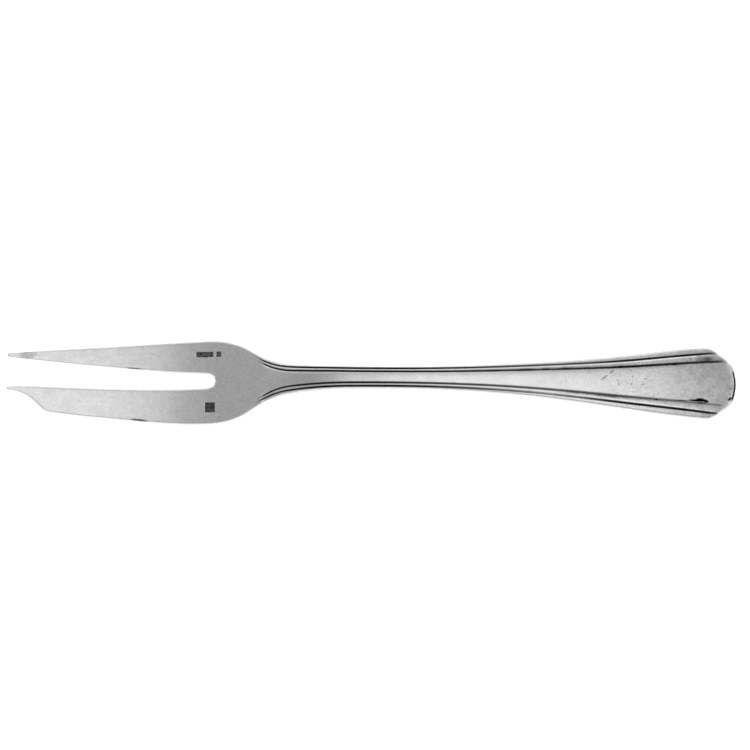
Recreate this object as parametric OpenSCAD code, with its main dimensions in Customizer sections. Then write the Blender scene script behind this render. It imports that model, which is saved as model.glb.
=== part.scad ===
// Two-tine seafood fork, stamped and forged from one blank and silver plated.
// It lies face up on the underside of its bowl and on the end of its handle.
// X runs from the tips (-X) to the end of the handle (+X), and +Y is the side of the narrow tine.
// The origin is the middle of the fork's footprint, on the surface that it lies on.

/* [Lengths, from the tips to the end] */
// Tines, from the tips to the root of the slot
tine_len = 45.6; // [40:0.1:55]
// From the widest place of the head to the root of the slot
widest_back = 1.7; // [0.5:0.1:3]
// From the root of the slot to the middle of the shoulder
shoulder_len = 8; // [6:0.1:12]
// From the middle of the shoulder to where the neck begins
neck_lead_len = 9; // [7:0.1:14]
// From where the neck begins to its narrowest place
neck_len = 21.7; // [15:0.1:30]
// From the narrowest place to where the handle flares most
stem_len = 53.2; // [40:0.1:70]
// From where the handle flares most to where its corners begin
flare_len = 15.7; // [12:0.1:24]
// Cut corners of the handle's end
corner_len = 5.7; // [4.5:0.1:8]
// How far the end edge bulges out past the corners
end_bulge = 1.1; // [0.6:0.1:1.6]

/* [Widths] */
// Head, at its widest
head_w = 18.5; // [16:0.05:22]
// Middle of the shoulder
shoulder_w = 13.2; // [11:0.05:15]
// Where the neck begins
neck_lead_w = 6.4; // [5.2:0.05:8]
// Neck, at its narrowest
neck_w = 4.9; // [3.8:0.05:5.6]
// Handle, where it flares most
stem_w = 12.45; // [10:0.05:13.5]
// Handle, where its corners begin
end_w = 15.65; // [14:0.05:18]
// End edge, between the cut corners
end_edge_w = 8.7; // [6:0.05:10]
// How far the handle bows towards the side of the wide tine
bow = 0.27; // [0:0.01:0.4]

/* [Tines] */
// Axis of the fork to the middle of the narrow tine's tip
narrow_tip_at = 5.44; // [4.6:0.01:6]
// Narrow tine's tip
narrow_tip_w = 0.65; // [0.5:0.05:1.2]
// Narrow tine at its root
narrow_root_w = 7.3; // [6.6:0.05:7.7]
// How much further back the narrow tip ends than the wide one
narrow_tip_back = 0.25; // [0:0.05:1]
// Axis of the fork to the wide tine's edge on the slot
wide_slot_edge = 1.38; // [1:0.05:1.8]
// Wide tine's tip
wide_tip_w = 0.6; // [0.4:0.05:1]
// Cutting notch, from the tip to the heel
notch_len = 9.3; // [7:0.1:13]
// Axis of the fork to the heel of the notch
heel_at = 6.83; // [5.5:0.01:7.5]
// Rounded root of the slot, along the fork
slot_round_len = 2.45; // [1.5:0.05:3.5]

/* [Side view] */
// Height of the tips above the surface
tip_rise = 6; // [3:0.1:9]
// Slot root back to the lowest place of the bowl
bowl_low_back = 10.1; // [8:0.1:14]
// Slot root to the middle of the rise from bowl to neck
rise_mid_at = 8.2; // [6:0.1:11]
// Height at the middle of that rise
rise_mid = 3.9; // [3:0.1:5]
// Slot root to the highest place of the neck
arch_at = 29; // [24:0.1:34]
// Height of the underside at the neck's highest place
arch_rise = 9.7; // [7:0.1:13]
// Height of the underside two thirds of the way along the handle
handle_rise = 5.2; // [4:0.1:6]
// Length of the handle's end that is worn level underneath
end_level = 1.5; // [0.8:0.1:2]
// Depth worn flat where the fork rests
rest_depth = 0.15; // [0.05:0.01:0.2]

/* [Thickness and edges] */
// Tines at their tips
tip_t = 1; // [0.8:0.05:1.4]
// Head, at the root of the slot
head_t = 2; // [1.6:0.05:2.6]
// Neck
neck_t = 3; // [2.4:0.05:4]
// Handle, at its end
end_t = 2; // [1.6:0.05:2.6]
// Rounding of the upper edges
edge_r = 0.55; // [0.2:0.05:0.8]
// Rounding of the lower edges
under_r = 0.7; // [0.3:0.05:1]

/* [Threaded border] */
// Inner groove, as a share of the local half width
inner_groove_at = 0.58; // [0.45:0.01:0.6]
// How much nearer the axis than that share it runs
inner_draw = 0.2; // [0:0.01:0.25]
// Outer groove, as a share of the local half width
outer_groove_at = 0.78; // [0.72:0.01:0.82]
// Width of a groove
groove_w = 0.34; // [0.2:0.02:0.4]
// Depth of a groove
groove_depth = 0.3; // [0.1:0.02:0.4]
// How far the border steps down from the panel to the outer groove
border_step = 0.14; // [0:0.02:0.2]
// How steeply the outer strip falls away towards the edge
strip_slope = 0.14; // [0:0.01:0.25]
// How far the panel between the grooves falls from its middle to its edges
panel_crown = 0.15; // [0:0.01:0.25]
// Slot root to where the grooves begin
groove_start = 9.8; // [8:0.1:12]
// Length over which they reach their full depth
groove_fade = 1.6; // [1:0.1:6]
// Margin outside the inner groove where it begins
inner_margin = 1.5; // [1.3:0.05:2.2]
// Margin outside the outer groove where it begins
outer_margin = 0.84; // [0.7:0.01:1]
// Length over which the grooves swing from those margins to their shares
groove_lead = 8; // [4:0.5:20]

/* [Hidden] */

// Places along the fork, measured from the wide tine's tip
root = tine_len;
widest = root - widest_back;
shoulder = root + shoulder_len;
neck_lead = shoulder + neck_lead_len;
narrowest = neck_lead + neck_len;
stem = narrowest + stem_len;
corner = stem + flare_len;
corner_end = corner + corner_len;
overall = corner_end + end_bulge;
threads = root + groove_start;
bowl_low = root - bowl_low_back;
heel = notch_len;

// Outline of the body: place, distance from the axis, slope
stem_slope = 0.132;
BODY = [
  [widest, head_w / 2, 0],
  [shoulder, shoulder_w / 2, -0.664],
  [neck_lead, neck_lead_w / 2, -0.113],
  [narrowest, neck_w / 2, 0],
  [stem, stem_w / 2, stem_slope],
  [corner, end_w / 2, 0.04]
];
CORNER = [
  [corner, end_w / 2, 0.04],
  [corner + 0.45 * corner_len, 0.89 * end_w / 2, -0.75],
  [corner_end, end_edge_w / 2, -0.95]
];

// Edges of the tines in the same form, counted from the axis towards the tine's own side
narrow_edge = head_w / 2 - narrow_root_w;
narrow_point = 4;
narrow_middle = root - 24.6;
wide_point = 2.2;
wide_middle = root - 20.7;
NARROW_OUT = [
  [0, narrow_tip_at + narrow_tip_w / 2, 0.25],
  [narrow_point, narrow_tip_at + narrow_tip_w / 2 + 0.48, 0.13],
  [narrow_middle, head_w / 2 - 1.4, 0.083],
  [widest, head_w / 2, 0]
];
NARROW_IN = [
  [0, narrow_tip_at - narrow_tip_w / 2, -0.13],
  [narrow_point, narrow_tip_at - narrow_tip_w / 2 - 0.38, -0.085],
  [narrow_middle, narrow_edge + 1.6, -0.072],
  [root, narrow_edge - 0.08, -0.068]
];
WIDE_OUT = [
  [0, wide_slot_edge + 0.18 + wide_tip_w, 0.1],
  [0.35 * heel, wide_slot_edge + 0.75 + wide_tip_w, 0.38],
  [0.59 * heel, (wide_slot_edge + wide_tip_w + heel_at) / 2 - 0.47, 0.85],
  [0.87 * heel, heel_at - 0.5, 0.8],
  [heel, heel_at, 0.12],
  [wide_middle, head_w / 2 - 1.09, 0.078],
  [widest, head_w / 2, 0]
];
WIDE_IN = [
  [0, wide_slot_edge + 0.26, -0.15],
  [wide_point, wide_slot_edge - 0.08, -0.02],
  [wide_middle, wide_slot_edge + 0.03, 0],
  [root, wide_slot_edge - 0.12, -0.02]
];

// Sideways bow along the fork: place, distance, slope. It holds at half along the neck
bow_half = narrowest - 7;
bow_more = narrowest + 22;
bow_full = stem - 4;
BOW = [
  [shoulder, 0, 0],
  [bow_half, bow / 2, 0],
  [bow_more, bow / 2, 0],
  [bow_full, bow, 0],
  [corner, 0, 0]
];

// Underside along the fork: place, height, slope
handle_knot = corner - 21;
end_slope = 0.3;
RISE = [
  [0, tip_rise, -0.27],
  [bowl_low, 0, 0],
  [root + rise_mid_at, rise_mid, 0.28],
  [root + arch_at, arch_rise, 0],
  [handle_knot, handle_rise, -0.17],
  [overall, -end_slope * end_level, -end_slope]
];

// Thickness along the fork: place, thickness, slope
THICK = [
  [0, tip_t, 0.03],
  [root, head_t, 0.02],
  [neck_lead + 6, neck_t, 0],
  [stem, mix(neck_t, end_t, 0.75), -0.012],
  [overall, end_t, 0]
];

// Fall of the face, and rise of the underside, from the middle to the edge as a share of thickness
crown = 0.07;
back_crown = 0.14;
// Length of the rounded nose of a tine
nose_len = 0.6;
// Axis of the slot, and how square its root is
slot_axis = (narrow_edge - wide_slot_edge) / 2;
slot_power = 2.5;
// Points of a ring on the face and on the underside
top_n = 16;
back_n = 8;
ring_n = top_n + back_n;

// Cubic curve through knots of place, value and slope
function span(k, x, i = 0) = i >= len(k) - 2 || x < k[i + 1][0] ? i : span(k, x, i + 1);
function cubic(a, b, u) = let (h = b[0] - a[0])
  a[1] * (1 + 2 * u) * (1 - u) * (1 - u) + b[1] * u * u * (3 - 2 * u)
  + h * u * (1 - u) * (a[2] * (1 - u) - b[2] * u);
function curve(k, x) = let (i = span(k, x), u = (x - k[i][0]) / (k[i + 1][0] - k[i][0]))
  cubic(k[i], k[i + 1], min(1, max(0, u)));
function smooth(u) = let (v = min(1, max(0, u))) v * v * (3 - 2 * v);
function mix(a, b, u) = a + (b - a) * u;

// Plan: the slot's axis, how open the slot is, and a tine's two edges
function axis_y(s) = slot_axis * (1 - smooth((s - root) / (threads - root)));
function slot_open(s) = let (u = (s - root + slot_round_len) / slot_round_len)
  u <= 0 ? 1 : u >= 1 ? 0 : pow(1 - pow(u, slot_power), 1 / slot_power);
function tip_at(side) = side > 0 ? narrow_tip_back : 0;
function nose(side, s) = let (u = min(1, max(0, (s - tip_at(side)) / nose_len))) sqrt(u * (2 - u));
function tine_out(side, s) = curve(side > 0 ? NARROW_OUT : WIDE_OUT, s);
function tine_in(side, s) = let (edge = curve(side > 0 ? NARROW_IN : WIDE_IN, s))
  mix(side * axis_y(s), edge, slot_open(s));
function end_round(s) = let (u = min(1, (s - corner_end) / end_bulge))
  pow(max(0.07, 1 - pow(u, 1.6)), 0.6);
function body_out(s) = s < corner ? curve(BODY, s) :
  s < corner_end ? curve(CORNER, s) : end_edge_w / 2 * end_round(s);
function out_q(side, s) = s >= widest ? body_out(s) :
  mix((tine_in(side, s) + tine_out(side, s)) / 2, tine_out(side, s), nose(side, s));
function in_q(side, s) = s >= root ? side * axis_y(s) :
  mix((tine_in(side, s) + tine_out(side, s)) / 2, tine_in(side, s), nose(side, s));
function out_slope(side, s) = (out_q(side, min(overall, s + 0.01)) - out_q(side, s - 0.01)) / 0.02;
function in_slope(side, s) = (in_q(side, s + 0.01) - in_q(side, s - 0.01)) / 0.02;

// Distance from a point of the plan to the nearest edge
function to_out(side, s, q) = (out_q(side, s) - q) / norm([1, out_slope(side, s)]);
function to_in(side, s, q) = s >= root ? norm([s - root, q - side * axis_y(s)]) :
  (q - in_q(side, s)) / norm([1, in_slope(side, s)]);
function to_edge(side, s, q) = max(0, min(to_out(side, s, q), to_in(side, s, q)));

// Edge rounding, drawn in where the fork is narrow or thin
function width(side, s) = out_q(side, s) - in_q(side, s);
function round_w(r, side, s) = let (w = s < root ? width(side, s) : body_out(s)) r * w / (w + 3 * r);
function round_t(r, s) = let (t = curve(THICK, s)) r * t / (t + 3 * r);
function drop(d, across, down) = d >= across ? 0 : down * (1 - sqrt(1 - pow(1 - d / across, 2)));

// The two grooves and the bead between them, which run straight on once the handle has flared
function line_out(s) = s < stem ? curve(BODY, s) : stem_w / 2 + stem_slope * (s - stem);
function groove_line(s, margin, at, draw) =
  line_out(s) - mix(margin, (1 - at) * line_out(s) + draw, smooth((s - threads) / groove_lead));
function inner_groove(s) = groove_line(s, inner_margin, inner_groove_at, inner_draw);
function outer_groove(s) = groove_line(s, outer_margin, outer_groove_at, 0);
function threads_in(s) = smooth((s - threads) / groove_fade);
function flank(gap) = max(0, 1 - gap / (groove_w / 2));
function bead(u) = 1 - sqrt(1 - pow(abs(2 * u - 1), 4));
function thread(s, q) =
  let (a = inner_groove(s), b = outer_groove(s),
    cut = q < a ? flank(a - q) : q > b ? flank(q - b) : bead((q - a) / (b - a)),
    step = q < a ? 0 : q > b ? 1 : (q - a) / (b - a))
  threads_in(s) * (groove_depth * cut + border_step * step + strip_slope * max(0, q - b)
  + panel_crown * pow(min(1, q / a), 3));

// Height of the face and of the underside at a point of the plan
function share(s, q) = pow(q / max(body_out(max(s, widest)), 0.5), 2);
function face_z(side, s, q) = let (t = curve(THICK, s), d = to_edge(side, s, q))
  curve(RISE, s) + t * (1 + nose(side, s)) / 2 - crown * t * min(1, share(s, q)) - thread(s, q)
  - drop(d, round_w(edge_r, side, s), round_t(edge_r, s) * nose(side, s));
function under_z(side, s, q) = let (t = curve(THICK, s), d = to_edge(side, s, q))
  max(0, curve(RISE, s) - rest_depth + t * (1 - nose(side, s)) / 2
  + back_crown * t * nose(side, s) * min(1, share(s, q))
  + drop(d, round_w(under_r, side, s), round_t(under_r, s) * nose(side, s)));

// Columns across the face: spread over a tine, or set on the grooves and the bead
function tine_column(side, s, j) = let (r = round_w(edge_r, side, s), w = width(side, s))
  j == 0 ? 0 : j == 1 ? 0.3 * r : j == 14 ? w - 0.3 * r : j == 15 ? w :
  r + (w - 2 * r) * (j - 2) / 11;
function thread_column(side, s, j) =
  let (c = side * axis_y(s), a = inner_groove(s), b = outer_groove(s), g = groove_w / 2,
    r = round_w(edge_r, side, s), w = width(side, s), e = min(g, 0.3 * (b - a)))
  j < 5 ? (a - g - c) * [0, 0.3, 0.57, 0.8, 1][j] :
  j < 10 ? [a, a + e, (a + b) / 2, b - e, b][j - 5] - c :
  j == 10 ? b + g - c : j < 14 ? mix(b + g - c, w - r, (j - 10) / 3) :
  j == 14 ? w - 0.3 * r : w;
function column(side, s, j) =
  let (r = round_w(edge_r, side, s), w = width(side, s), plain = tine_column(side, s, j),
    free = mix(plain, thread_column(side, s, j), smooth((s - root) / (threads - root))),
    kept = j >= 14 ? free : min(free, (w - r) * (1 - 0.02 * (13 - j))))
  in_q(side, s) + mix(kept, plain, smooth((s - corner_end) / end_bulge));
function back_column(side, s, j) = let (r = round_w(under_r, side, s), w = width(side, s))
  in_q(side, s) + [w, w - 0.3 * r, w - r, 0.66 * w, 0.34 * w, r, 0.3 * r, 0][j];

function point(side, s, q, z) = [s - overall / 2, side * q - curve(BOW, s), z];
function ring(side, s) = concat(
  [for (j = [0:top_n - 1]) let (q = column(side, s, j)) point(side, s, q, face_z(side, s, q))],
  [for (j = [0:back_n - 1]) let (q = back_column(side, s, j)) point(side, s, q, under_z(side, s, q))]
);

// Places where the rings stand, closest where the shape turns most
neck_turned = neck_lead + 8;
function steps(a, b, n) = [for (i = [0:n - 1]) mix(a, b, i / n)];
function tip_steps(side) = [for (u = [0.15, 0.3, 0.5, 0.74]) tip_at(side) + u * nose_len];
BOWL_STEPS = concat(
  steps(bowl_low - 4, bowl_low + 3.5, 6),
  steps(bowl_low + 3.5, root - slot_round_len, 2)
);
NARROW = concat(tip_steps(1), steps(narrow_tip_back + nose_len, bowl_low - 4, 10), BOWL_STEPS);
WIDE = concat(
  tip_steps(-1),
  steps(nose_len, 0.35 * heel, 4),
  steps(0.35 * heel, heel * 1.08, 11),
  steps(heel * 1.08, bowl_low - 4, 7),
  BOWL_STEPS
);
ROOT = [for (u = [0, 0.35, 0.6, 0.77, 0.88, 0.95, 0.985]) root - slot_round_len * (1 - u)];
BODY_STEPS = concat(
  [root, root + 0.12, root + 0.32, root + 0.6],
  steps(root + 1.1, threads, 8),
  steps(threads, threads + groove_fade, 4),
  steps(threads + groove_fade, neck_turned, 9),
  steps(neck_turned, narrowest, 5),
  steps(narrowest, stem, 12),
  steps(stem, corner, 5),
  steps(corner, corner_end, 12),
  [for (u = [0, 0.25, 0.5, 0.72, 0.88, 1]) corner_end + u * end_bulge]
);

// Triangles between rings, a fan over each open end
function strip(base, i, j, flip) = let (a = base + i, b = base + j, c = a + ring_n, d = b + ring_n)
  flip ? [[a, b, d], [a, d, c]] : [[a, d, b], [a, c, d]];
function band(base, closed, flip) = [
  for (i = [0:ring_n - (closed ? 1 : 2)]) each strip(base, i, (i + 1) % ring_n, flip)
];
function fan(centre, loop, flip) = [
  for (i = [0:len(loop) - 1]) let (a = loop[i], b = loop[(i + 1) % len(loop)])
    flip ? [centre, b, a] : [centre, a, b]
];

// One half: the tine's closed rings, then the body's rings, open along the axis
function half_rings(side) = concat(side > 0 ? NARROW : WIDE, ROOT, BODY_STEPS);
function half_points(side) = [for (s = half_rings(side)) each ring(side, s)];
function half_faces(side, start) =
  let (tine = len(side > 0 ? NARROW : WIDE) + len(ROOT), all = len(half_rings(side)))
  [for (k = [0:all - 2]) each band(start + k * ring_n, k < tine, side < 0)];
function centre_of(points) = [for (v = [0:2]) [for (p = points) p[v]] * [for (p = points) 1 / len(points)]];

module fork() {
  narrow = half_points(1);
  wide = half_points(-1);
  first = len(narrow);
  last_narrow = first - ring_n;
  last_wide = first + len(wide) - ring_n;
  tip_a = centre_of([for (i = [0:ring_n - 1]) narrow[i]]);
  tip_b = centre_of([for (i = [0:ring_n - 1]) wide[i]]);
  end = centre_of([for (i = [0:ring_n - 1]) each [narrow[last_narrow + i], wide[len(wide) - ring_n + i]]]);
  caps = first + len(wide);
  end_loop = concat([for (i = [0:ring_n - 1]) last_narrow + i],
    [for (i = [ring_n - 2:-1:1]) last_wide + i]);
  color([0.78, 0.78, 0.77])
    polyhedron(
      points = concat(narrow, wide, [tip_a, tip_b, end]),
      faces = concat(
        half_faces(1, 0),
        half_faces(-1, first),
        fan(caps, [for (i = [0:ring_n - 1]) i], false),
        fan(caps + 1, [for (i = [0:ring_n - 1]) first + i], true),
        fan(caps + 2, end_loop, true)
      )
    );
}

fork();
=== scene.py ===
import bisect
import math

import bmesh
import bpy
from mathutils import Matrix, Vector
from mathutils.bvhtree import BVHTree


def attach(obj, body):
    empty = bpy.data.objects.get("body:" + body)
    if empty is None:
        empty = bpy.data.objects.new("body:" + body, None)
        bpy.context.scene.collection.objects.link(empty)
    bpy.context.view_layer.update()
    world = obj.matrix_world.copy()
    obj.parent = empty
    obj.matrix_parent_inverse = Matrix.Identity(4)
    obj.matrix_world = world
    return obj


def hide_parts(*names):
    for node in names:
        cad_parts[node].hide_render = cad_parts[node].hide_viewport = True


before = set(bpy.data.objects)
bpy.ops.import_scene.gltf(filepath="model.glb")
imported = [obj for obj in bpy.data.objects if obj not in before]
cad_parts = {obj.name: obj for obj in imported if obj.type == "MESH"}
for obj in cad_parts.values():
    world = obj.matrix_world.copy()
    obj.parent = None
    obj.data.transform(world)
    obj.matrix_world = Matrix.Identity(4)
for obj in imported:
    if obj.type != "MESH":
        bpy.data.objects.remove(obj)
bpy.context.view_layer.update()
bpy.context.scene.view_settings.view_transform = "Standard"

# Camera
# The fork is seen from almost straight above, a little from the side of its wide
# tine, through a long lens. The picture is square and the fork fills its width.
picture_width = 0.16496
camera_distance = 1.0
camera_elevation = math.radians(81.5)
aim = Vector((0.00071, 0.00197, 0.0010))
roll = math.radians(0.09)

camera_data = bpy.data.cameras.new("camera")
camera_data.lens = camera_data.sensor_width * camera_distance / picture_width
camera_data.clip_start = 0.05
camera_data.clip_end = 50.0
camera = bpy.data.objects.new("camera", camera_data)
bpy.context.scene.collection.objects.link(camera)
back = Vector((0.0, -math.cos(camera_elevation), math.sin(camera_elevation)))
camera.location = aim + back * camera_distance
turn = (-back).to_track_quat("-Z", "Y").to_matrix().to_4x4() @ Matrix.Rotation(roll, 4, "Z")
camera.rotation_mode = "QUATERNION"
camera.rotation_quaternion = turn.to_quaternion()
bpy.context.scene.camera = camera

# Floor
# A plain sheet of white paper that runs far past the picture. It keeps the soft
# shadow of the fork, and shows as white where nothing shades it.
floor_half_size = 6.0
paper_grey = 0.90
paper_glow = 0.55


def grey(level):
    return (level, level, level, 1.0)


# A shader node with its inputs linked or set. It gives back one of its outputs
def add(kind, inputs, output=0, **settings):
    made = tree.nodes.new("ShaderNode" + kind)
    for name, value in settings.items():
        setattr(made, name, value)
    for name, value in inputs.items():
        if isinstance(value, bpy.types.NodeSocket):
            tree.links.new(value, made.inputs[name])
        else:
            made.inputs[name].default_value = value
    return made.outputs[output] if made.outputs else None


def maths(operation, *values):
    return add("Math", dict(enumerate(values)), operation=operation)


floor_mesh = bpy.data.meshes.new("floor")
sheet = bmesh.new()
bmesh.ops.create_grid(sheet, x_segments=1, y_segments=1, size=floor_half_size)
sheet.to_mesh(floor_mesh)
sheet.free()
floor = bpy.data.objects.new("floor", floor_mesh)
bpy.context.scene.collection.objects.link(floor)

paper = bpy.data.materials.new("white_paper")
paper.use_nodes = True
tree = paper.node_tree
tree.nodes.clear()
matt = add("BsdfDiffuse", {"Color": grey(paper_grey)})
seen = maths("MAXIMUM", add("LightPath", {}, "Is Camera Ray"), add("LightPath", {}, "Is Glossy Ray"))
seen = maths("MAXIMUM", seen, add("LightPath", {}, "Is Transmission Ray"))
glow = add("Emission", {"Color": grey(1.0), "Strength": maths("MULTIPLY", seen, paper_glow)})
add("OutputMaterial", {"Surface": add("AddShader", {0: matt, 1: glow})})
floor_mesh.materials.append(paper)

# Light
# One wide softbox close above the neck and handle, brightest over the handle and fading
# unevenly towards its edges, in a pale room that is white at the horizon and greyer
# overhead. The room is brightest behind the fork and past the end of its handle.
softbox_length = 0.50
softbox_width = 0.36
softbox_place = (0.045, -0.035, 0.30)
end_wall_share = 0.70


# A level that follows a value: stops of the value, each with its level
def ramp(value, stops):
    made = tree.nodes.new("ShaderNodeValToRGB")
    tree.links.new(value, made.inputs["Fac"])
    elements = made.color_ramp.elements
    while len(elements) > 1:
        elements.remove(elements[-1])
    for place, level in stops:
        stop = elements[0] if place == stops[0][0] else elements.new(place)
        stop.position = place
        stop.color = grey(level)
    return made.outputs["Color"]


softbox_data = bpy.data.lights.new("softbox", "AREA")
softbox_data.shape = "RECTANGLE"
softbox_data.size = softbox_length
softbox_data.size_y = softbox_width
softbox_data.energy = math.pi * softbox_data.size * softbox_data.size_y
softbox_data.use_nodes = True
tree = softbox_data.node_tree
tree.nodes.clear()
on_box = add("NewGeometry", {}, "Parametric")
# Brightness along the box and across it, from one edge to the other. The stops along it
# follow a comparison of the fork's greys in the picture and in a render, thinned out and
# adjusted
length_fade = ramp(add("SeparateXYZ", {"Vector": on_box}, "X"), [
    (0.0, 0.06), (0.06, 0.11), (0.12, 0.13), (0.176, 0.17), (0.25, 0.20), (0.30, 0.26),
    (0.336, 0.41), (0.361, 0.50), (0.39, 0.65), (0.43, 0.71), (0.475, 0.59), (0.52, 0.70),
    (0.66, 0.69), (0.70, 0.66), (0.74, 0.56), (0.79, 0.73), (0.813, 0.77), (0.853, 0.41),
    (0.898, 0.11), (0.94, 0.04), (1.0, 0.06),
])
width_fade = ramp(add("SeparateXYZ", {"Vector": on_box}, "Y"), [
    (0.0, 0.4), (0.15, 1.0), (0.78, 1.0), (0.92, 0.5), (1.0, 0.0),
])
lamp = add("Emission", {"Strength": maths("MULTIPLY", length_fade, width_fade)})
add("OutputLight", {"Surface": lamp})
softbox = bpy.data.objects.new("softbox", softbox_data)
softbox.location = softbox_place
bpy.context.scene.collection.objects.link(softbox)

world = bpy.data.worlds.new("room")
bpy.context.scene.world = world
world.use_nodes = True
tree = world.node_tree
tree.nodes.clear()
direction = add("TexCoord", {}, "Generated")
x_way = add("SeparateXYZ", {"Vector": direction}, "X")
y_way = add("SeparateXYZ", {"Vector": direction}, "Y")
z_way = add("SeparateXYZ", {"Vector": direction}, "Z")
overhead = ramp(z_way, [(0.15, 1.0), (0.6, 0.38)])
sideways = maths("MAXIMUM", maths("MULTIPLY", x_way, end_wall_share), y_way)
walls = ramp(sideways, [(0.45, 0.0), (0.50, 0.38), (0.64, 1.1)])
sky = add("Background", {"Color": maths("MAXIMUM", overhead, walls)})
add("OutputWorld", {"Surface": sky})

# Fork
# One blank of nickel silver, stamped with its slot, notch and threaded border, bent,
# polished and silver plated. The plate has gone satin with use and black in its grooves.
touching = 0.000002
same_place = 0.000001
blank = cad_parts["fork"]
skin = bmesh.new()
skin.from_mesh(blank.data)
bmesh.ops.remove_doubles(skin, verts=skin.verts, dist=touching)


def crosses(edge):
    return abs(edge.verts[0].co.x - edge.verts[1].co.x) > same_place


# Every second edge from one ring of the form to the next is a diagonal, and goes. The
# longest of them is always one
crossing = dict.fromkeys(edge for edge in skin.edges if crosses(edge))
diagonals = []
while crossing:
    edge = next(iter(crossing))
    face = edge.link_faces[0]
    walk = []
    while edge in crossing:
        walk.append(edge)
        del crossing[edge]
        edge = next(other for other in face.edges if other != edge and crosses(other))
        face = next(other for other in edge.link_faces if other != face)
    halves = (walk[0::2], walk[1::2])
    diagonals += max(halves, key=lambda half: max(edge.calc_length() for edge in half))
bmesh.ops.dissolve_edges(skin, edges=diagonals, use_verts=False)

# The floors of the four grooves are the hollow columns of the form. They stay sharp, and
# are kept as lines from ring to ring, as far as the cut corners. Folds are in radians, and
# how far a surface faces upwards is the height of its normal
least_fold = 0.2
groove_facing = 0.3
sharpest_crease = 0.8
skin.normal_update()
crease = skin.edges.layers.float.new("crease_edge")
hollow = {}
for edge in skin.edges:
    fold = -edge.calc_face_angle_signed(0.0)
    facing = min(vert.normal.z for vert in edge.verts)
    if crosses(edge) and fold > least_fold and facing > groove_facing:
        for vert in edge.verts:
            hollow[vert] = max(fold, hollow.get(vert, 0.0))


def follow(vert, way, end):
    line = []
    while vert in hollow and vert.co.x < end:
        line.append(tuple(vert.co.xy))
        for edge in vert.link_edges:
            ahead = edge.other_vert(vert)
            if (ahead.co.x - vert.co.x) * way > same_place:
                edge[crease] = min(sharpest_crease, hollow[vert])
                vert = ahead
                break
    return line


def extended(line):
    before, last = Vector(line[-2]), Vector(line[-1])
    return line + [tuple(last + (last - before).normalized() * run_out)]


groove_ends = {"inner": 0.0766, "outer": 0.0748}
fork_end = 1.0
run_out = 0.001
waist = min((vert.co.x for vert in hollow), key=abs)
at_waist = [vert for vert in hollow if abs(vert.co.x - waist) < same_place]
at_waist.sort(key=lambda vert: abs(vert.co.y))
groove_lines = {}
for name, pair in (("inner", at_waist[:2]), ("outer", at_waist[2:])):
    for vert in pair:
        line = extended(follow(vert, -1.0, fork_end))[:0:-1]
        line += extended(follow(vert, 1.0, groove_ends[name]))
        groove_lines[(math.copysign(1.0, vert.co.y), name)] = line

rough_mesh = bpy.data.meshes.new("forged_form")
skin.to_mesh(rough_mesh)
skin.free()
form = bpy.data.objects.new("forged_form", rough_mesh)
bpy.context.scene.collection.objects.link(form)
smooth = form.modifiers.new("smooth", "SUBSURF")
smooth.levels = 2
smooth.render_levels = 2
smoothed = form.evaluated_get(bpy.context.evaluated_depsgraph_get())
fork_mesh = bpy.data.meshes.new_from_object(smoothed)
bpy.data.objects.remove(form)
plate = bmesh.new()
plate.from_mesh(fork_mesh)
punched = plate.verts.layers.float.new("punched")
gaps = {name: plate.verts.layers.float.new(name + "_gap") for name in ("inner", "outer")}
end_gap = plate.verts.layers.float.new("end_gap")
upward = plate.verts.layers.float.new("upward")

# Plain punched marks by the roots of the tines: centre, half length and half width
punches = [
    ((-0.03665, 0.00612), (0.00185, 0.00055)),
    ((-0.03355, 0.00612), (0.00055, 0.00055)),
    ((-0.03545, -0.00561), (0.00106, 0.00106)),
]
punch_wall = 0.00012
punch_depth = 0.00009
punch_rim = 0.0001
punch_reach = 0.0009
punch_facing = 0.4
punch_edge = 0.00005
punch_edge_level = 0.6
cut_tolerance = 0.0000002
for centre, half in punches:
    near = []
    for face in plate.faces:
        middle = face.calc_center_median()
        away = [abs(middle[axis] - centre[axis]) - half[axis] for axis in (0, 1)]
        if face.normal.z > punch_facing and max(away) < punch_reach:
            near.append(face)
    for grown in (-punch_rim, 0.0, punch_wall, punch_wall + punch_rim):
        for axis, side in ((0, -1.0), (0, 1.0), (1, -1.0), (1, 1.0)):
            cut_at = Vector((centre[0], centre[1], 0.0))
            cut_at[axis] += side * (half[axis] + grown)
            cut_across = Vector((0.0, 0.0, 0.0))
            cut_across[axis] = 1.0
            parts = dict.fromkeys(part for face in near for part in (face, *face.edges, *face.verts))
            cut = bmesh.ops.bisect_plane(
                plate, geom=list(parts), dist=cut_tolerance, plane_co=cut_at, plane_no=cut_across,
            )
            near = [part for part in cut["geom"] if isinstance(part, bmesh.types.BMFace)]
    for vert in dict.fromkeys(vert for face in near for vert in face.verts):
        inside = min(half[axis] - abs(vert.co[axis] - centre[axis]) for axis in (0, 1))
        if inside > -same_place:
            vert[punched] = 1.0 if inside > punch_edge else punch_edge_level
            vert.co.z -= punch_depth

# The end of the handle is eased off by polishing, down to its bulged rim
end_x = max(vert.co.x for vert in plate.verts)
end_bulge = 0.0011
end_half_width = 0.00435
ease_length = 0.0019
ease_depth = 0.00030
ease_facing = 0.1
for vert in plate.verts:
    to_rim = max(end_x - end_bulge * (vert.co.y / end_half_width) ** 2 - vert.co.x, 0.0)
    vert[end_gap] = to_rim * 1000.0
    if vert.normal.z > ease_facing and to_rim < ease_length:
        vert.co.z -= ease_depth * (1.0 - to_rim / ease_length) ** 2


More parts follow.
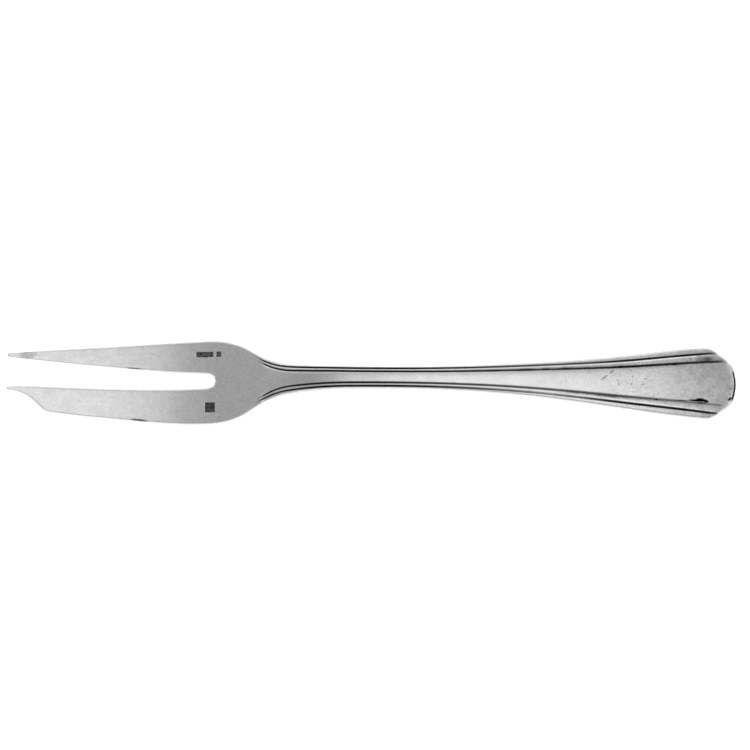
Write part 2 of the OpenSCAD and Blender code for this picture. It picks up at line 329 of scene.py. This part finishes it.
# How far a point of the face lies from a groove, in millimetres, and on which side of it:
# more than nothing is towards the edge of the fork, and less is towards its middle
def line_gap(line, x, y):
    index = min(max(bisect.bisect(line, (x, y)), 1), len(line) - 1)
    start, end = Vector(line[index - 1]), Vector(line[index])
    share = (Vector((x, y)) - start).dot(end - start) / (end - start).length_squared
    nearest = start.lerp(end, min(max(share, 0.0), 1.0))
    return math.copysign((Vector((x, y)) - nearest).length * 1000.0, (y - nearest.y) * nearest.y)


face_facing = 0.2
far_gap = 9.0
plate.normal_update()
for vert in plate.verts:
    vert[upward] = vert.normal.z
    for name, gap_layer in gaps.items():
        line = groove_lines[(math.copysign(1.0, vert.co.y), name)]
        on_top = vert.normal.z > face_facing
        vert[gap_layer] = line_gap(line, vert.co.x, vert.co.y) if on_top else far_gap
for face in plate.faces:
    face.smooth = True
plate.to_mesh(fork_mesh)
face_tree = BVHTree.FromBMesh(plate)
plate.free()
fork = bpy.data.objects.new("plated_fork", fork_mesh)
bpy.context.scene.collection.objects.link(fork)
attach(fork, "root")
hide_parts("fork")


# Worn silver plate: satin from fine scratches, mottled, black where it is never rubbed, with painted
# shade and painted highlights on it
def times(*values):
    product = values[0]
    for value in values[1:]:
        product = maths("MULTIPLY", product, value)
    return product


# A level with a share of it taken away
def less(level, taken):
    return maths("MULTIPLY", level, maths("SUBTRACT", 1.0, taken))


def spread(value, low, high, to_low, to_high):
    ends = {"Value": value, "From Min": low, "From Max": high, "To Min": to_low, "To Max": to_high}
    return add("MapRange", ends, interpolation_type="SMOOTHSTEP")


def noise(vector, scale, detail):
    return add("TexNoise", {"Vector": vector, "Scale": scale, "Detail": detail, "Roughness": 0.6})


def attribute(name):
    return add("Attribute", {}, "Fac", attribute_name=name)


# A level that changes along the fork: places in millimetres, each with its level
def along(*levels):
    start, end = -50.0, 80.0
    fraction = {"Value": x_place, "From Min": start / 1000.0, "From Max": end / 1000.0}
    return ramp(add("MapRange", fraction), [((x - start) / (end - start), level) for x, level in levels])


silver = bpy.data.materials.new("worn_silver_plate")
silver.use_nodes = True
tree = silver.node_tree
shader = tree.nodes["Principled BSDF"]
shader.inputs["Metallic"].default_value = 1.0
place = add("TexCoord", {}, "Object")
x_place = add("SeparateXYZ", {"Vector": place}, "X")
y_place = add("SeparateXYZ", {"Vector": place}, "Y")

# How clean the plate is, with painted shade and painted highlights worked in: 1 where it is
# bare and bright, less where it is dull, black or in painted shade, more under a painted highlight
brush_scale = (130.0, 2400.0, 2400.0)
grain = noise(place, 2600.0, 2.0)
cloud = noise(place, 520.0, 3.0)
brushed = noise(add("Mapping", {"Vector": place, "Scale": brush_scale}), 1.0, 3.0)
grained = along((-48, 1.4), (-38, 2.2), (-18, 2.2), (0, 1.0), (30, 1.0), (45, 1.5), (60, 2.8))
mottled = along((-48, 1.0), (-38, 1.5), (-18, 1.5), (0, 1.0), (45, 1.0), (60, 1.4))
clean_and_painted_light = times(spread(grain, 0.3, 0.7, -0.052, 0.033), grained)
clean_and_painted_light = maths("ADD", clean_and_painted_light, times(spread(cloud, 0.3, 0.7, -0.045, 0.025), mottled))
clean_and_painted_light = maths("ADD", clean_and_painted_light, 1.0)
clean_and_painted_light = times(clean_and_painted_light, spread(brushed, 0.3, 0.7, 0.975, 1.01))

# Painted shade on the neck, and on the end of the handle towards one side. The end of the handle is also
# darker in patches
painted_neck_shade = along((-22, 0), (-16, 0.14), (-2, 0.16), (6, 0.07), (12, 0))
clean_and_painted_light = less(clean_and_painted_light, times(painted_neck_shade, spread(attribute("inner_gap"), 0.0, 0.2, 1.0, 0.3)))
end_patch = spread(x_place, 0.058, 0.072, 0.0, 0.26)
clean_and_painted_light = less(clean_and_painted_light, times(end_patch, spread(cloud, 0.4, 0.62, 0.0, 1.0)))
painted_end_shade = spread(x_place, 0.060, 0.076, 0.0, 0.14)
clean_and_painted_light = less(clean_and_painted_light, times(painted_end_shade, spread(y_place, -0.003, 0.004, 0.0, 1.0)))

# Specks
speck_scale = 420.0
to_speck = add("TexVoronoi", {"Vector": place, "Scale": speck_scale}, "Distance")
chosen = add("TexVoronoi", {"Vector": place, "Scale": speck_scale}, "Color")
speck = times(spread(to_speck, 0.05, 0.10, 0.3, 0.0), spread(chosen, 0.55, 0.65, 0.0, 1.0))
clean_and_painted_light = less(clean_and_painted_light, speck)

# Grooves: black on the floor where they were never rubbed, worn to grey elsewhere
slim_side = spread(y_place, -0.001, 0.001, 0.0, 1.0)
broad_side = maths("SUBTRACT", 1.0, slim_side)
patchy = noise(place, 300.0, 3.0)
on_face = spread(attribute("upward"), 0.1, 0.3, 0.0, 1.0)
floor_width = along((-22, 0.8), (-14, 1.0), (17, 1.05), (40, 1.0), (62, 1.2))
floors = [
    ("outer", slim_side, along(
        (-25.6, 0), (-23.9, 1), (5, 1), (17, 0.8), (39, 0.58), (48, 0.72),
        (55, 0.97), (72, 0.95), (74.8, 0.7), (76.1, 0),
    )),
    ("outer", broad_side, along(
        (-25.6, 0), (-23.9, 1), (5, 1), (17, 0.8), (39, 0.4), (46, 0.6),
        (52, 0.96), (58, 1), (74, 1), (75.5, 0.8), (76.4, 0),
    )),
    ("inner", slim_side, along(
        (-25.2, 0), (-23.3, 0.97), (0, 1), (17, 0.88), (39, 0.60), (50, 0.85),
        (57, 1), (76, 0.85), (77.4, 0),
    )),
    ("inner", broad_side, along(
        (-25.2, 0), (-23.3, 0.98), (0, 0.93), (17, 0.75), (39, 0.65), (60, 0.6),
        (70, 0.45), (76.5, 0.4), (77.5, 0),
    )),
]
for name, side, level in floors:
    gap = maths("DIVIDE", maths("ABSOLUTE", attribute(name + "_gap")), floor_width)
    bottom = spread(gap, 0.15, 0.30, 1.0, 0.0)
    clean_and_painted_light = less(clean_and_painted_light, times(bottom, level, side, spread(patchy, 0.35, 0.6, 1.01, 0.94)))

# Soot and painted shade on the metal beside the grooves: outwards on the strips, outwards
# from the inner grooves over half of the beads, and inwards on the panel
soot_and_shade_width = along((-20, 0.5), (17, 0.5), (40, 0.8), (55, 1.0), (76, 1.2))
soots_and_shade = [
    ("outer", 1.0, 0.7, slim_side, along(
        (-24, 0), (-20, 0.2), (17, 0.3), (39, 0.5), (50, 0.4), (56, 0.18), (76, 0.08),
    )),
    ("outer", 1.0, 0.6, broad_side, along(
        (-24, 0), (-20, 0.1), (39, 0.05), (52, 0.2), (60, 0.25), (70, 0.1), (76, 0.0),
    )),
    ("inner", 1.0, 0.95, slim_side, along(
        (-24, 0), (-20, 0.7), (-8, 0.5), (17, 0.35), (37, 0.95), (47, 0.95),
        (54, 0.75), (62, 0.45), (76, 0.4),
    )),
    ("inner", 1.0, 0.95, broad_side, along(
        (-24, 0), (-20, 0.4), (0, 0.2), (17, 0.05), (39, 0.2), (46, 0.8),
        (54, 0.9), (60, 0.45), (70, 0.3), (76, 0.0),
    )),
    ("inner", -1.0, 0.8, slim_side, along(
        (-24, 0), (-20, 0.4), (17, 0.8), (50, 0.5), (70, 0.5), (76, 0.4),
    )),
    ("inner", -1.0, 0.5, broad_side, along(
        (-24, 0), (-20, 0.3), (17, 0.15), (52, 0.15), (76, 0.05),
    )),
]
for name, way, furthest, side, level in soots_and_shade:
    gap = maths("DIVIDE", times(attribute(name + "_gap"), way), soot_and_shade_width)
    soot_and_shade = times(spread(gap, 0.2, furthest, 1.0, 0.0), spread(gap, -0.1, 0.1, 0.0, 1.0))
    clean_and_painted_light = less(clean_and_painted_light, times(soot_and_shade, side, level, spread(patchy, 0.35, 0.62, 0.55, 1.0)))

# Painted highlight on the beads along the inner lips of the outer grooves
painted_lip_highlights = [
    (slim_side, along((48, 0), (56, 0.05), (66, 0.35), (74, 0.4), (76, 0))),
    (broad_side, along((34, 0), (42, 0.1), (54, 0.25), (68, 0.45), (74, 0.4), (76, 0))),
]
gap = attribute("outer_gap")
painted_lip_highlight = times(spread(gap, -0.66, -0.40, 0.0, 1.0), spread(gap, -0.24, -0.12, 1.0, 0.0))
for side, level in painted_lip_highlights:
    clean_and_painted_light = times(clean_and_painted_light, maths("ADD", 1.0, times(painted_lip_highlight, side, level)))

# A black line of painted shade on the rounded rim of the end
rim_shift = 0.0004
from_middle = maths("ABSOLUTE", maths("ADD", y_place, rim_shift))
rim = times(
    spread(attribute("end_gap"), 0.28, 0.50, 1.0, 0.0),
    spread(from_middle, 0.0027, 0.0036, 1.0, 0.0),
)
clean_and_painted_light = less(clean_and_painted_light, times(rim, on_face))

# Punched marks, black with a mottled floor
stamped = times(spread(attribute("punched"), 0.0, 0.4, 0.0, 1.0), spread(grain, 0.3, 0.7, 1.0, 0.95))
mottling = times(
    spread(attribute("punched"), punch_edge_level, 1.0, 0.0, 0.12),
    spread(grain, 0.35, 0.6, 0.4, 1.3),
)
clean_and_painted_light = less(clean_and_painted_light, maths("SUBTRACT", stamped, mottling))

# Scratches, nicks, specks and blots where the picture shows them, with painted shadow and
# painted shade among them, in groups by how dark they are. Each has its two ends and its
# width in pixels. 27 of the 50 are as read in enlarged crops. The others were made larger
# after renders showed them too faint, and six of those were moved as well. The camera
# carries each onto the fork
picture_pixels = 750
pixel = picture_width / picture_pixels
mark_height = 0.0015
marks = {
    0.15: {
        "lower faint scratch": ((603.8, 381.6), (609.2, 377.4), 1.2),
        "upper faint scratch": ((611.0, 377.3), (617.2, 372.7), 1.3),
        "slim tip stain": ((34.0, 354.0), (37.0, 353.0), 4.5),
        "smear by the notch": ((78.5, 399.0), (80.0, 403.0), 2.2),
        "first slim tine speck": ((80.0, 354.8), (82.4, 355.2), 1.8),
        "second slim tine speck": ((94.0, 350.0), (95.5, 350.4), 2.0),
        "broad tine edge speck": ((143.0, 416.0), (145.0, 416.4), 2.0),
    },
    0.25: {
        "panel smear": ((587.0, 371.7), (592.0, 371.7), 2.2),
        "slim tip tarnish": ((17.0, 355.6), (37.0, 354.6), 9.0),
        "slim tip spot": ((29.0, 355.2), (33.5, 353.4), 3.4),
        "broad tine front speck": ((71.0, 395.0), (72.6, 395.4), 1.8),
        "slim tine back speck": ((151.0, 354.0), (153.0, 354.0), 2.0),
        "broad tine back speck": ((176.0, 411.0), (178.0, 411.6), 2.0),
        "end panel speck": ((701.0, 375.9), (704.0, 375.9), 1.6),
        "end edge speck": ((717.5, 376.0), (721.5, 376.1), 1.5),
        "faint tick": ((692.5, 360.0), (692.6, 362.0), 0.8),
    },
    0.35: {
        "upright fleck": ((618.5, 382.2), (619.3, 386.2), 1.8),
        "slanting fleck": ((616.7, 379.8), (618.6, 380.9), 2.2),
        "upper fleck": ((631.6, 376.4), (633.6, 376.9), 2.4),
        "lower fleck": ((630.7, 384.2), (632.7, 384.0), 3.1),
        "far lower fleck": ((641.4, 384.5), (644.6, 384.1), 2.2),
        "far upper fleck": ((643.7, 378.8), (647.7, 378.8), 2.2),
        "fleck by the groove": ((630.1, 370.5), (632.5, 371.0), 2.4),
        "bead smear": ((689.0, 358.6), (692.0, 358.2), 5.0),
        "first bead speck": ((670.0, 357.0), (671.6, 356.4), 1.6),
        "second bead speck": ((680.5, 356.0), (682.0, 355.4), 2.0),
        "slot speck": ((209.0, 391.0), (212.0, 391.4), 1.6),
        "wide bead smudge": ((692.7, 358.9), (716.3, 358.1), 7.7),
    },
    0.5: {
        "lower scratch": ((600.4, 380.5), (608.2, 374.6), 2.0),
        "upper scratch": ((609.4, 373.6), (614.2, 370.1), 2.5),
        "bead smudge": ((701.3, 359.6), (712.7, 358.8), 5.0),
        "first tick": ((687.4, 359.8), (687.5, 362.2), 0.9),
        "smear below the painted edge shade": ((695.4, 402.8), (708.6, 403.0), 2.2),
    },
    0.7: {
        # The two slivers along the lower edges of the tines are painted shadow, where the tines come
        # close to the floor
        "slim tine painted contact shadow": ((126.0, 368.1), (144.0, 370.0), 2.7),
        "broad tine painted contact shadow": ((129.0, 419.1), (149.0, 421.1), 2.9),
        "second tick": ((697.0, 359.6), (697.1, 362.2), 0.9),
        "third tick": ((701.3, 358.6), (701.4, 362.2), 1.0),
        "thin nick": ((728.4, 388.5), (733.5, 388.4), 0.9),
        "small groove blot": ((612.0, 367.9), (616.0, 367.6), 1.4),
        # This mark is painted shade running out along the worn edge of the broad side's inner groove
        "tail of the painted edge shade": ((675.0, 400.4), (690.0, 400.2), 1.2),
        "small nick": ((729.2, 394.3), (731.1, 394.6), 1.7),
    },
    1.0: {
        # The next three marks are painted shade along the worn edge of the broad side's inner groove
        "painted edge shade": ((686.4, 400.2), (709.1, 400.8), 2.5),
        "thick of the painted edge shade": ((694.4, 399.8), (706.6, 400.1), 4.2),
        "end of the painted edge shade": ((701.5, 400.3), (709.5, 401.7), 3.3),
        "black nick": ((727.6, 401.0), (731.6, 397.2), 2.5),
        "end groove blot": ((720.3, 361.4), (722.3, 361.6), 1.6),
        "long groove blot": ((670.0, 364.6), (678.0, 364.3), 2.2),
        "short groove blot": ((664.5, 365.3), (668.5, 365.0), 1.6),
        "wide groove blot": ((617.5, 367.4), (622.5, 367.0), 2.6),
        "broad side blot": ((654.6, 399.4), (658.4, 399.8), 1.6),
    },
}


def on_fork(x, y):
    half = picture_pixels / 2
    way = Vector(((x - half) * pixel, (half - y) * pixel, -camera_distance))
    return face_tree.ray_cast(camera.location, (camera.rotation_quaternion @ way).normalized())[0]


for darkness, group in marks.items():
    reach = 10.0
    for (x, y), (far_x, far_y), width in group.values():
        across = (far_x - x) * pixel
        up = (y - far_y) * pixel / math.sin(camera_elevation)
        spot = {
            "Vector": place,
            "Location": on_fork((x + far_x) / 2, (y + far_y) / 2),
            "Rotation": (0.0, 0.0, math.atan2(up, across)),
            "Scale": (math.hypot(across, up) / 2, width * pixel / 2, mark_height),
        }
        inside = add("Mapping", spot, vector_type="TEXTURE")
        reach = maths("MINIMUM", reach, add("VectorMath", {0: inside}, "Value", operation="LENGTH"))
    clean_and_painted_light = less(clean_and_painted_light, times(spread(reach, 0.55, 1.15, darkness, 0.0), on_face))

# Bare silver reflects 0.80 of the light, and soot and painted shade next to nothing. The
# sockets of the mix are its factor and its two colours
silver_grey = 0.80
soot_and_shade_grey = 0.004
mixed = {0: times(clean_and_painted_light, silver_grey), 6: grey(soot_and_shade_grey), 7: grey(1.0)}
tree.links.new(add("Mix", mixed, 2, data_type="RGBA"), shader.inputs["Base Color"])
rough = maths("ADD", spread(clean_and_painted_light, 0.0, 1.0, 0.6, 0.27), spread(cloud, 0.3, 0.7, 0.04, 0.0))
tree.links.new(rough, shader.inputs["Roughness"])
relief = maths("ADD", times(grain, 0.5), brushed)
bump = add("Bump", {"Strength": 0.25, "Distance": 0.00001, "Height": relief}, "Normal")
tree.links.new(bump, shader.inputs["Normal"])
fork_mesh.materials.clear()
fork_mesh.materials.append(silver)
